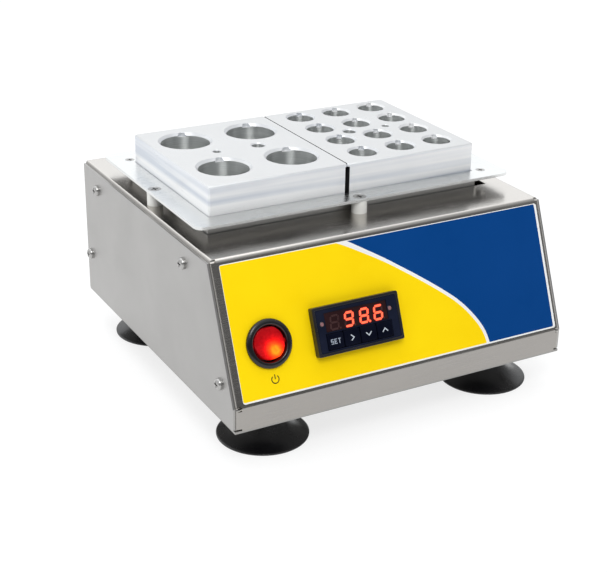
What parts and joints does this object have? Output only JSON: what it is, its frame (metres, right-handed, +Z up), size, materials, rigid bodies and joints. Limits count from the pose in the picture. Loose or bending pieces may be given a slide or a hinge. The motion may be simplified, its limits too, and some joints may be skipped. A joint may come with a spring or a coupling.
{
  "type": "dry bath incubator",
  "caption": "Bench dry bath: sloped steel case on suction-cup feet, panel controller and rocker switch on a printed front, heated tray with lift-out aluminium tube blocks.",
  "frame": {"origin": "on the bench, under the middle of the outline", "axes": "+X to the right along the front, +Y from the sloped front panel to the back, +Z up"},
  "size_m": [0.1962, 0.1926, 0.1214],
  "materials": {
    "case_steel": "satin",
    "cover_steel": "satin",
    "base_steel": "satin",
    "plate_aluminium": "satin",
    "tray_aluminium": "satin",
    "block_aluminium": "machined",
    "screw_steel": "polished",
    "standoff_plastic": "moulded",
    "overlay_print": "printed film",
    "controller_black": "gloss",
    "controller_navy": "gloss",
    "display_red": "smoked lens",
    "lamp_lens": "unlit",
    "key_navy": "semi-gloss",
    "switch_black": "gloss",
    "rocker_red": "translucent",
    "foot_rubber": "glossy rubber",
    "inlet_black": "moulded",
    "contact_nickel": "plated",
    "insulation_white": "fibre board",
    "mat_orange": "silicone",
    "board_green": "solder resist",
    "relay_body": "moulded",
    "terminal_plastic": "moulded",
    "wire_mains": "insulation",
    "wire_switch": "insulation",
    "wire_heater": "glass braid",
    "probe_steel": "polished"
  },
  "bodies": {
    "chassis": {"case_shell": "case_steel", "side_cover_left": "cover_steel", "side_cover_right": "cover_steel", "side_cover_screws": "screw_steel", "base_plate": "base_steel", "base_screws": "screw_steel", "front_overlay": "overlay_print", "mounting_plate": "plate_aluminium", "plate_standoffs": "standoff_plastic", "plate_screws": "screw_steel", "plate_nuts": "screw_steel", "tray_screws": "screw_steel", "block_tray": "tray_aluminium", "heat_spreader": "tray_aluminium", "heater_mat": "mat_orange", "heater_clamp_plate": "base_steel", "heater_screws": "screw_steel", "tray_insulation": "insulation_white", "thermal_cutout": "relay_body", "temperature_probe": "probe_steel", "controller_bezel": "controller_black", "controller_face": "controller_navy", "controller_digits": "display_red", "controller_lamps": "lamp_lens", "controller_board": "board_green", "controller_case": "controller_black", "controller_terminals": "terminal_plastic", "controller_clamp": "inlet_black", "switch_housing": "switch_black", "switch_blades": "contact_nickel", "power_inlet": "inlet_black", "inlet_pins": "contact_nickel", "inlet_screws": "screw_steel", "inlet_nuts": "screw_steel", "solid_state_relay": "relay_body", "relay_screws": "screw_steel", "terminal_block": "terminal_plastic", "earth_stud": "contact_nickel", "earth_nut": "contact_nickel", "mains_wires": "wire_mains", "switch_wires": "wire_switch", "heater_leads": "wire_heater", "probe_lead": "wire_heater", "foot_front_left": "foot_rubber", "foot_front_right": "foot_rubber", "foot_back_left": "foot_rubber", "foot_back_right": "foot_rubber", "foot_studs": "screw_steel", "foot_nuts": "screw_steel"},
    "block_left": {"tube_block_4_well": "block_aluminium"},
    "block_right": {"tube_block_12_well": "block_aluminium"},
    "rocker": {"power_rocker": "rocker_red"},
    "set_key": {"key_set": "key_navy"},
    "shift_key": {"key_shift": "key_navy"},
    "down_key": {"key_down": "key_navy"},
    "up_key": {"key_up": "key_navy"}
  },
  "joints": [
    {"name": "block_left_lift", "type": "slide", "parent": "chassis", "child": "block_left", "axis": [0, 0, 1], "range_m": [0, 0.06]},
    {"name": "block_right_lift", "type": "slide", "parent": "chassis", "child": "block_right", "axis": [0, 0, 1], "range_m": [0, 0.06]},
    {"name": "power_rocker_tilt", "type": "hinge", "parent": "chassis", "child": "rocker", "pos_m": [-0.0729, -0.08491, 0.05781], "axis": [1, 0, 0], "range_deg": [0, 18]},
    {"name": "set_key_press", "type": "slide", "parent": "chassis", "child": "set_key", "axis": [0, 0.9235, -0.3836], "range_m": [0, 0.0004], "stiffness_N_per_m": 800, "springref_m": -0.0003},
    {"name": "shift_key_press", "type": "slide", "parent": "chassis", "child": "shift_key", "axis": [0, 0.9235, -0.3836], "range_m": [0, 0.0004], "stiffness_N_per_m": 800, "springref_m": -0.0003},
    {"name": "down_key_press", "type": "slide", "parent": "chassis", "child": "down_key", "axis": [0, 0.9235, -0.3836], "range_m": [0, 0.0004], "stiffness_N_per_m": 800, "springref_m": -0.0003},
    {"name": "up_key_press", "type": "slide", "parent": "chassis", "child": "up_key", "axis": [0, 0.9235, -0.3836], "range_m": [0, 0.0004], "stiffness_N_per_m": 800, "springref_m": -0.0003}
  ]
}
